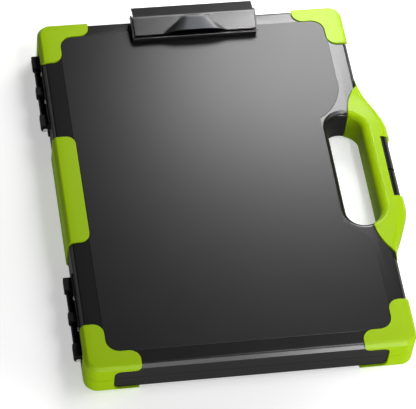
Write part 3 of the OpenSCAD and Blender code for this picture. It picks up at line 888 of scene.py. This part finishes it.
def under_arm(arm_end, corner_from, bend, arm_lip, grow):
    """What lies under an arm, seen from the side. The arm's lower corner and its run into the corner
    part are rounded."""
    down, length, spare = -5, 120, 0.2
    lip = arm_lip - grow
    end = min(ARM_END_R, HALF_H - spare - arm_lip) + grow
    return traced(
        0, length, (arm_end - PAST, down),
        (corner_from, down), (corner_from, lip - bend), (corner_from - bend, lip - bend, 90),
        (arm_end + end, lip), (arm_end + end, lip + end, -90),
        (arm_end, lip + PAST), (arm_end - PAST, lip + PAST), (arm_end - PAST, down))


def spine_room(grow):
    size = grown((HALF_W - SPINE_IN + PAST, 2 * SPINE_HALF, SPINE_R), grow)
    return moved(rounded_block(size, BELOW, HALF_H + PAST), (grow - SPINE_IN - size[0] / 2, 0, 0))


def opening_block(grow, rim):
    """Finger opening as a block, with its rounded rim where rim isn't 0."""
    bm = bmesh.new()
    size = grown(OPENING, grow)
    face = rounded_face(bm, size, BELOW)
    last = size
    if rim:
        base = BORDER_TOP - rim
        face = stepped(bm, face, last, size, base)
        for turn in range(10, 91, 10):
            ring = grown(size, turn_in(rim, turn))
            face = stepped(bm, face, last, ring, base + turn_up(rim, turn))
            last = ring
    stepped(bm, face, last, last, HALF_H + PAST)
    return outwards(moved(bm, (OPENING_X, 0, 0)))


def cavity_block():
    wide, high = [rounded_block(size, BELOW, top) for size, top in HOLLOWS]
    return carved(
        wide, plus(high), less(opening_block(OPENING_WALL, 0)), less(grip_room(GRIP_WALL)))


def bumper_rooms(grow, lip):
    corner = corner_room(grow, lip)
    corners = [mirrored(corner, axes) for axes in ("", "x", "y", "xy")]
    return joined(*corners, spine_room(grow))


def shell_half(lip):
    """Upper shell without panel, clip or dividers, for bumpers whose arms end at lip."""
    groove = sizes().groove / MM
    return carved(
        half_box(0, BORDER_TOP, BORDER_RISE, PANEL),
        less(bumper_rooms(groove, lip)),
        plus(seat_box()),
        less(grip_room(groove)),
        less(opening_block(0, sizes().rim / MM)),
        less(cavity_block()),
        plus(handle_core()))


def handle_core():
    start, end = CORE_SLOT
    slot = brick(
        (OPENING_RIGHT + start, -CORE_SLOT_HALF, BELOW),
        (OPENING_RIGHT + end, CORE_SLOT_HALF, CORE_TOP - CORE_ROOF))
    return carved(core_block(), less(slot), less(recess_block()))


def panel_block():
    """Raised panel, which gives way to the finger opening in two wide arcs."""
    bend_r, bend_x, bend_y = 48.5, HALF_W - 66, 103.0
    end_y, sunk, same = bend_y + 3, 0.5, 0.01
    half_w, half_l, round_r = PANEL[0] / 2, PANEL[1] / 2, PANEL[2]
    rim_left = OPENING_X - OPENING[0] / 2 - sizes().rim / MM
    turn = math.degrees(math.acos((rim_left - bend_x) / bend_r))
    bend_end = bend_y - turn_up(bend_r, turn)
    bm = traced(
        BORDER_TOP - sunk, HALF_H, (half_w, end_y),
        (half_w, half_l - round_r), (half_w - round_r, half_l - round_r, 90),
        (-half_w + round_r, half_l), (-half_w + round_r, half_l - round_r, 90),
        (-half_w, -half_l + round_r), (-half_w + round_r, -half_l + round_r, 90),
        (half_w - round_r, -half_l), (half_w - round_r, -half_l + round_r, 90),
        (half_w, -end_y), (bend_x + bend_r, -bend_y), (bend_x, -bend_y, turn),
        (rim_left, bend_end), (bend_x, bend_y, turn), (half_w, end_y))
    edges = [edge for edge in bm.edges if all(vert.co.z > HALF_H - same for vert in edge.verts)]
    soften(bm, edges, sizes().panel_edge / MM)
    return carved(bm, less(bumper_rooms(sizes().groove / MM, COVER_LIP)))


def dividers():
    """The rib along the pen tray, and the two short ribs at the tray's ends."""
    rib_x, rib_t, soft = 80.0, 1.8, 0.5
    floor, top, lap = 16.6, 3.5, 1
    end = HALF_L - 2.6
    tray = (OPENING[1] - rib_t) / 2 + OPENING_WALL
    long = brick((rib_x, -end, top), (rib_x + rib_t, end, floor), soft)
    ribs = [
        brick((rib_x + lap, side * tray - rib_t / 2, top),
              (OPENING_X + 2 * lap, side * tray + rib_t / 2, floor), soft)
        for side in (-1, 1)]
    return long, joined(*ribs)


def pad_block():
    """The pad that carries the clip's plate, a little smaller than the plate."""
    side_in, front_in, rear_in, sunk, soft = 1, 1.5, 7, 0.8, 0.25
    half = CLIP_HALF - side_in
    return brick(
        (CLIP_X - half, CLIP_FRONT + front_in, BORDER_TOP - sunk),
        (CLIP_X + half, HALF_L - rear_in, PAD_TOP), soft)


class CLIPCASE_OT_shells(Operator):
    """Add the two charcoal shells and their matt panels"""

    bl_idname = "clipcase.shells"
    bl_label = "Shells"

    def execute(self, context):
        long, ribs = dividers()
        cover = carved(shell_half(COVER_LIP), plus(pad_block()))
        base = carved(shell_half(BASE_LIP), plus(long), plus(ribs))
        panel = panel_block()
        halves = (("cover", ""), ("base", "z"))
        for (body, flip), half in zip(halves, (cover, base)):
            finish_piece(f"{body}_shell", mirrored(half, flip), body, "shell", shell_finish())
        for body, flip in halves:
            finish_piece(
                f"{body}_panel", mirrored(panel, flip), body, "shell", panel_finish(),
                node=f"{body}_shell")
        return {"FINISHED"}


def bumper_box():
    flat = (BOX[0] - 2 * FLAT_FROM, BOX[1] - 2 * FLAT_FROM, FLAT_R)
    return half_box(PROUD, HALF_H + FOOT, BUMPER_RISE, flat)


def bumper_of(room):
    bm = carved(bumper_box(), ("INTERSECT", room), less(seat_box()))
    soften(bm, sharp_edges(bm, 40), sizes().lime_edge / MM)
    return bm


class CLIPCASE_OT_bumpers(Operator):
    """Add the lime bumpers on the corners and the spine"""

    bl_idname = "clipcase.bumpers"
    bl_label = "Bumpers"

    def execute(self, context):
        spine = bumper_of(spine_room(0))
        for body, flip, lip in (("cover", "", COVER_LIP), ("base", "z", BASE_LIP)):
            corner = bumper_of(corner_room(0, lip))
            for part, bumper, axes in (
                    ("bumper_front_left", corner, "xy"), ("bumper_front_right", corner, "y"),
                    ("bumper_rear_left", corner, "x"), ("bumper_rear_right", corner, ""),
                    ("spine_bumper", spine, "")):
                finish_piece(
                    f"{body}_{part}", mirrored(bumper, axes + flip), body, "bumper", lime_finish())
        return {"FINISHED"}


class CLIPCASE_OT_grips(Operator):
    """Add the two lime halves of the handle"""

    bl_idname = "clipcase.grips"
    bl_label = "Handle grips"

    def execute(self, context):
        half = carved(grip_block(), less(core_block()), less(recess_block()))
        for body, flip in (("cover", ""), ("base", "z")):
            finish_piece(
                f"{body}_handle_grip", mirrored(half, flip), body, "grip", lime_finish())
        return {"FINISHED"}


class CLIPCASE_OT_latches(Operator):
    """Add the two black latches in the outer edge of the handle"""

    bl_idname = "clipcase.latches"
    bl_label = "Latches"

    def execute(self, context):
        bend_z = LATCH_TOP - (LATCH_OUT - LATCH_X)
        neck_z, soft = PIVOT_Z + LATCH_BARREL * 0.75, 0.5
        for place, (low, high) in LATCH_SPANS.items():
            bm = traced(
                0, high - low, (LATCH_OUT, PIVOT_Z), (LATCH_OUT, bend_z), (LATCH_X, bend_z, 90),
                (LATCH_X, LATCH_TOP - LATCH_SKIN), (LATCH_X, bend_z, -90),
                (LATCH_OUT - LATCH_SKIN, neck_z), (PIVOT_X, PIVOT_Z + LATCH_BARREL),
                (PIVOT_X, PIVOT_Z, 270))
            turned_front(bm, high)
            ends = [face for face in bm.faces if abs(face.normal.y) > 0.9]
            soften(bm, edges_round(ends), soft)
            finish_piece(f"latch_{place}", bm, f"{place}_latch", "latch", fittings_finish())
        return {"FINISHED"}


def leaf_block(spans, radius, web_x):
    """Hinge leaf of the upper half: a strip on the wall, with a web and a knuckle at each place."""
    wall_x, thick = -HALF_W, 1.6
    strip_low, strip_top, web_top, lap = 6.9, 12, 6, 0.6
    whole = brick((wall_x - thick, -HINGE_HALF, strip_low), (wall_x, HINGE_HALF, strip_top), 0.4)
    for low, high in spans:
        web = brick((web_x, low, SEAM), (wall_x, high, web_top), 0.35)
        strip = brick((wall_x - thick, low, SEAM), (wall_x, high, strip_low + lap), 0.2)
        barrel = bar(radius, high - low, (HINGE_X, (low + high) / 2, 0), 0.7)
        whole = carved(whole, plus(carved(web, plus(strip), plus(barrel))))
    return whole


class CLIPCASE_OT_hinges(Operator):
    """Add the black hinge leaves, and finish their pins and screws"""

    bl_idname = "clipcase.hinges"
    bl_label = "Hinges"

    def execute(self, context):
        for place, middle in HINGE_MIDDLES.items():
            for body, spans, radius, web_x, flip in LEAVES:
                leaf = moved(mirrored(leaf_block(spans, radius, web_x), flip), (0, middle, 0))
                finish_piece(f"hinge_leaf_{body}_{place}", leaf, body, "hinge", fittings_finish())
        for name in ("hinge_pin_front", "hinge_pin_rear", "hinge_screws_base",
                     "hinge_screws_cover", "latch_pin"):
            clothe(name, steel_finish())
        return {"FINISHED"}


def clothe(node, material):
    """Give a CAD node that is shown as it is a material."""
    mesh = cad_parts[node].data
    mesh.materials.clear()
    mesh.materials.append(material)


def jaw_behind(y):
    """Underside of the jaw behind its crease."""
    return PLATE_TOP + JAW_RISE - JAW_FALL * (y - JAW_CREASE - 1)


def jaw_height(x, y):
    """Height of the jaw's lower face: a slope up to the crease, a slope down behind, and the arch."""
    height = jaw_behind(y)
    for (y0, z0), (y1, z1) in zip(JAW_ROWS, JAW_ROWS[1:]):
        if y <= y1:
            height = PLATE_TOP + mixed(z0, z1, (y - y0) / (y1 - y0))
            break
    along = (y - JAW_FRONT) / (JAW_CREASE - JAW_FRONT)
    part = min(abs(x) / mixed(*ARCH_HALVES, along), 1.0)
    return height + mixed(sizes().arch / MM, 0.0, along) * (1 - part ** 4) ** 1.5


def jaw_sheet():
    """The jaw's bent sheet, from a flat grid whose points are lifted to their height."""
    bm = bmesh.new()
    bmesh.ops.create_grid(bm, x_segments=116, y_segments=66, size=0.5)
    bmesh.ops.scale(bm, vec=(2 * JAW_HALF, JAW_REAR - JAW_FRONT, 1), verts=bm.verts)
    moved(bm, (0, (JAW_FRONT + JAW_REAR) / 2, 0))
    for vert in bm.verts:
        vert.co.z = jaw_height(vert.co.x, vert.co.y)
    bmesh.ops.solidify(bm, geom=bm.faces[:], thickness=-JAW_T)
    return outwards(bm)


def side_plate(outline, start, thick):
    """Sheet with an outline seen from the side, from start along x."""
    bm = turned_side(traced(0, thick, *outline), start)
    soften(bm, sharp_edges(bm, 40), 0.15, 2)
    return bm


class CLIPCASE_OT_clip(Operator):
    """Add the paper clip: plate, jaw, rod, rivets and spring"""

    bl_idname = "clipcase.clip"
    bl_label = "Paper clip"

    def execute(self, context):
        foot, bevel = (CLIP_FRONT, PAD_TOP), PLATE_BEVEL
        sheet = (
            foot, (CLIP_REAR, PAD_TOP), (CLIP_REAR, PLATE_TOP),
            (CLIP_FRONT + bevel[0], PLATE_TOP), (CLIP_FRONT, PLATE_TOP - bevel[1]), foot)
        plate = side_plate(sheet, -CLIP_HALF, 2 * CLIP_HALF)
        cheek_r, cheek_turn, cheek_rise = 2.8, 113, 0.8
        foot = (CLIP_FRONT + 1, PAD_TOP)
        outline = (
            foot, (CLIP_REAR, PAD_TOP), (ROD_Y + cheek_r, ROD_Z), (ROD_Y, ROD_Z, cheek_turn),
            (foot[0], PLATE_TOP + cheek_rise), foot)
        sides = [side_plate(outline, x, SIDE_T) for x in (-CLIP_HALF, CLIP_HALF - SIDE_T)]
        self.add_part("clip_base_plate", joined(plate, *sides), "cover", "clip", gunmetal_finish())

        tab_r, tab_t, tab_in = 2.5, 1.2, 0.4
        start, end = ROD_Y - tab_r, ROD_Y + tab_r
        corner = (start, jaw_behind(start) + JAW_T / 2)
        tab = (
            corner, (start, ROD_Z), (ROD_Y, ROD_Z, 180), (end, jaw_behind(end) + JAW_T / 2),
            corner)
        ends = (tab_in - JAW_HALF, JAW_HALF - tab_in - tab_t)
        tabs = [side_plate(tab, x, tab_t) for x in ends]
        self.add_part(
            "clip_jaw", joined(jaw_sheet(), *tabs), "jaw", "clip", gunmetal_finish(), sharp=50)

        for name in ("clip_rod", "clip_rivets"):
            clothe(name, steel_finish())
        self.add_part("clip_spring", spring_wire(), "cover", "steel", steel_finish(), sharp=60)
        return {"FINISHED"}

    def add_part(self, name, bm, body, slot, material, **settings):
        finish_piece(name, moved(bm, (CLIP_X, 0, 0)), body, slot, material, **settings)


def spring_wire():
    """Wire wound eight turns round the rod, with a leg at each end."""
    turns, pitch, steps = 8, 1.6, 24
    legs = ((-1, 13.5), (1, 3.5))
    bm = bmesh.new()
    ring = bmesh.ops.create_circle(
        bm, cap_ends=False, radius=sizes().wire / MM, segments=12)["verts"]
    lean = math.atan2(pitch, 2 * math.pi * COIL_R)
    turn = Matrix.Rotation(lean, 3, "Z") @ Matrix.Rotation(math.radians(90), 3, "X")
    bmesh.ops.rotate(bm, cent=(0, 0, 0), matrix=turn, verts=ring)
    moved(bm, (-pitch * turns / 2, ROD_Y, ROD_Z - COIL_R))
    bmesh.ops.spin(
        bm, geom=bm.edges[:], cent=(0, ROD_Y, ROD_Z), axis=(1, 0, 0),
        angle=math.radians(360 * turns), steps=steps * turns, dvec=(pitch / steps, 0, 0),
        use_merge=False)
    loops = [edge for edge in bm.edges if edge.is_boundary]
    for sign, reach in legs:
        rim = [edge for edge in loops if edge.verts[0].co.x * sign > 0]
        made = bmesh.ops.extrude_edge_only(bm, edges=rim)["geom"]
        moved(bm, (0, reach * sign, 0), among(made, BMVert))
        bmesh.ops.contextual_create(
            bm, geom=[edge for edge in among(made, BMEdge) if edge.is_boundary])
    return outwards(bm)


# Stage

# Lights round the case: name, place and aim from its middle, width and length, and the degrees of
# spread where it is limited. The setting of the same name is the power.
AIM = (0, 0.05, 0)
LIGHTS = (
    ("Rear softbox", (0.2325, 0.585, 0.579), AIM, (0.312, 0.246)),
    ("Rear strip", (0.31, 0.67, 0.43), (0.12, 0.19, 0), (0.2, 0.14)),
    ("Side softbox", (0.564, -0.25, 0.785), AIM, (0.795, 0.795)),
    ("Overhead softbox", (0.26, -0.1, 0.86), AIM, (0.24, 0.08)),
    ("Front strip", (0.27, -0.38, 0.72), (0.27, 0, 0), (0.05, 0.6), 40),
    ("Edge softbox", (0.42, -1.2, 0.17), (0.12, -0.2, 0), (0.35, 0.3)),
    ("Clip softbox", (0.27, 0.27, 0.86), (0.06, 0.168, 0.03), (0.1, 0.1), 20),
    ("Front softbox", (-0.3, -1.4, 0.27), AIM, (1.0, 0.4)),
    ("Corner lamp", (-1.05, -0.62, 0.15), AIM, (0.12, 0.12)))
FLOOR_HALF = 6
# The floor's glow grows to pure white between these distances from a point near the case
GLOW_CENTRE = (-0.05, -0.01, 0)
GLOW_FROM = 0.205
GLOW_TO = 0.4
GLOW_MOST = 1.2
# The camera as solved from the photograph, with its focal length for a sensor 36 mm wide
CAMERA_PLACE = (-0.37153, -1.3452, 1.88523)
CAMERA_TURNS = (36.1066, -4.5486, -8.7038)
CAMERA_LENS = 216


def seen_ray(tree):
    """1 for rays of the camera, of glossy and of clear surfaces, so that all of them see the white."""
    rays = tree.nodes.new("ShaderNodeLightPath").outputs
    first = maths(tree, "MAXIMUM", rays["Is Camera Ray"], rays["Is Glossy Ray"])
    return maths(tree, "MAXIMUM", first, rays["Is Transmission Ray"])


def floor_finish(settings):
    """Pale floor that looks white where it is lit and keeps the shadow."""
    material, tree, shader, place = started("Studio floor")
    colour = blended(
        tree, noise(tree, place, 3.0, 2.0), scaled(settings.floor, 0.99),
        scaled(settings.floor, 1.01))
    feed(tree, shader, {"Base Color": colour, "Roughness": 0.9, "Specular IOR Level": 0.1})
    far = linked(tree, "ShaderNodeVectorMath", {0: place, 1: GLOW_CENTRE}, operation="DISTANCE")
    glare = ranged(
        tree, far.outputs["Value"], settings.floor_white, GLOW_MOST, GLOW_FROM, GLOW_TO,
        "SMOOTHSTEP")
    white = maths(tree, "MULTIPLY", seen_ray(tree), glare)
    glow = linked(tree, "ShaderNodeEmission", {"Strength": white})
    both = linked(tree, "ShaderNodeAddShader", {0: shader.outputs[0], 1: glow.outputs[0]})
    feed(tree, tree.nodes["Material Output"], {"Surface": both.outputs[0]})
    return material


def add_floor(settings):
    bm = bmesh.new()
    bmesh.ops.create_grid(bm, x_segments=8, y_segments=8, size=FLOOR_HALF)
    added("floor", bm, floor_finish(settings))


def add_light(settings, name, place, aim, size, spread=180):
    lamp = bpy.data.lights.new(name, "AREA")
    lamp.shape = "RECTANGLE"
    lamp.size, lamp.size_y = size
    lamp.spread = math.radians(spread)
    lamp.energy = getattr(settings, name.lower().replace(" ", "_"))
    holder = placed(name, lamp)
    holder.location = MIDDLE + Vector(place)
    way = MIDDLE + Vector(aim) - holder.location
    holder.rotation_euler = way.to_track_quat("-Z", "Y").to_euler()


def add_world(scene, settings):
    """World that is white for the camera and gives a little plain light."""
    scene.world = bpy.data.worlds.new("Studio")
    scene.world.use_nodes = True
    tree = scene.world.node_tree
    rays = tree.nodes.new("ShaderNodeLightPath").outputs
    feed(tree, tree.nodes["Background"], {
        "Color": (1, 1, 1, 1), "Strength": weighed(tree, rays["Is Camera Ray"], settings.fill, 1.0)})


def add_camera(scene):
    lens = bpy.data.cameras.new("Camera")
    lens.lens = CAMERA_LENS
    lens.sensor_width = 36
    lens.clip_end = 30
    camera = placed("Camera", lens)
    camera.location = CAMERA_PLACE
    camera.rotation_euler = [math.radians(turn) for turn in CAMERA_TURNS]
    scene.camera = camera


class CLIPCASE_OT_stage(Operator):
    """Add the floor, the lights, the world and the camera"""

    bl_idname = "clipcase.stage"
    bl_label = "Stage"

    def execute(self, context):
        scene = context.scene
        settings = scene.stage_settings
        add_floor(settings)
        for light in LIGHTS:
            add_light(settings, *light)
        add_world(scene, settings)
        add_camera(scene)
        scene.view_settings.view_transform = "Standard"
        return {"FINISHED"}


class CLIPCASE_PT_panel(Panel):
    """Pieces of the clipboard box"""

    bl_idname = "CLIPCASE_PT_panel"
    bl_label = "Clipboard Box"
    bl_space_type = "VIEW_3D"
    bl_region_type = "UI"
    bl_category = "Clipboard Box"

    def draw(self, context):
        column = self.layout.column()
        for group, _ in GROUPS:
            owner = getattr(context.scene, group)
            for name in owner.__annotations__:
                column.prop(owner, name)
        for step in STEPS:
            column.operator(step.bl_idname)


STEPS = (
    CLIPCASE_OT_shells, CLIPCASE_OT_bumpers, CLIPCASE_OT_grips, CLIPCASE_OT_latches,
    CLIPCASE_OT_hinges, CLIPCASE_OT_clip, CLIPCASE_OT_stage)
GROUPS = (
    ("case_sizes", CaseSizes), ("case_colours", CaseColours), ("stage_settings", StageSettings))


def register():
    for name, group in GROUPS:
        bpy.utils.register_class(group)
        setattr(bpy.types.Scene, name, PointerProperty(type=group))
    for step in STEPS:
        bpy.utils.register_class(step)
    bpy.utils.register_class(CLIPCASE_PT_panel)


def unregister():
    bpy.utils.unregister_class(CLIPCASE_PT_panel)
    for step in reversed(STEPS):
        bpy.utils.unregister_class(step)
    for name, group in reversed(GROUPS):
        delattr(bpy.types.Scene, name)
        bpy.utils.unregister_class(group)


def main():
    register()
    for step in STEPS:
        getattr(bpy.ops.clipcase, step.bl_idname.split(".")[1])()


if __name__ == "__main__":
    main()
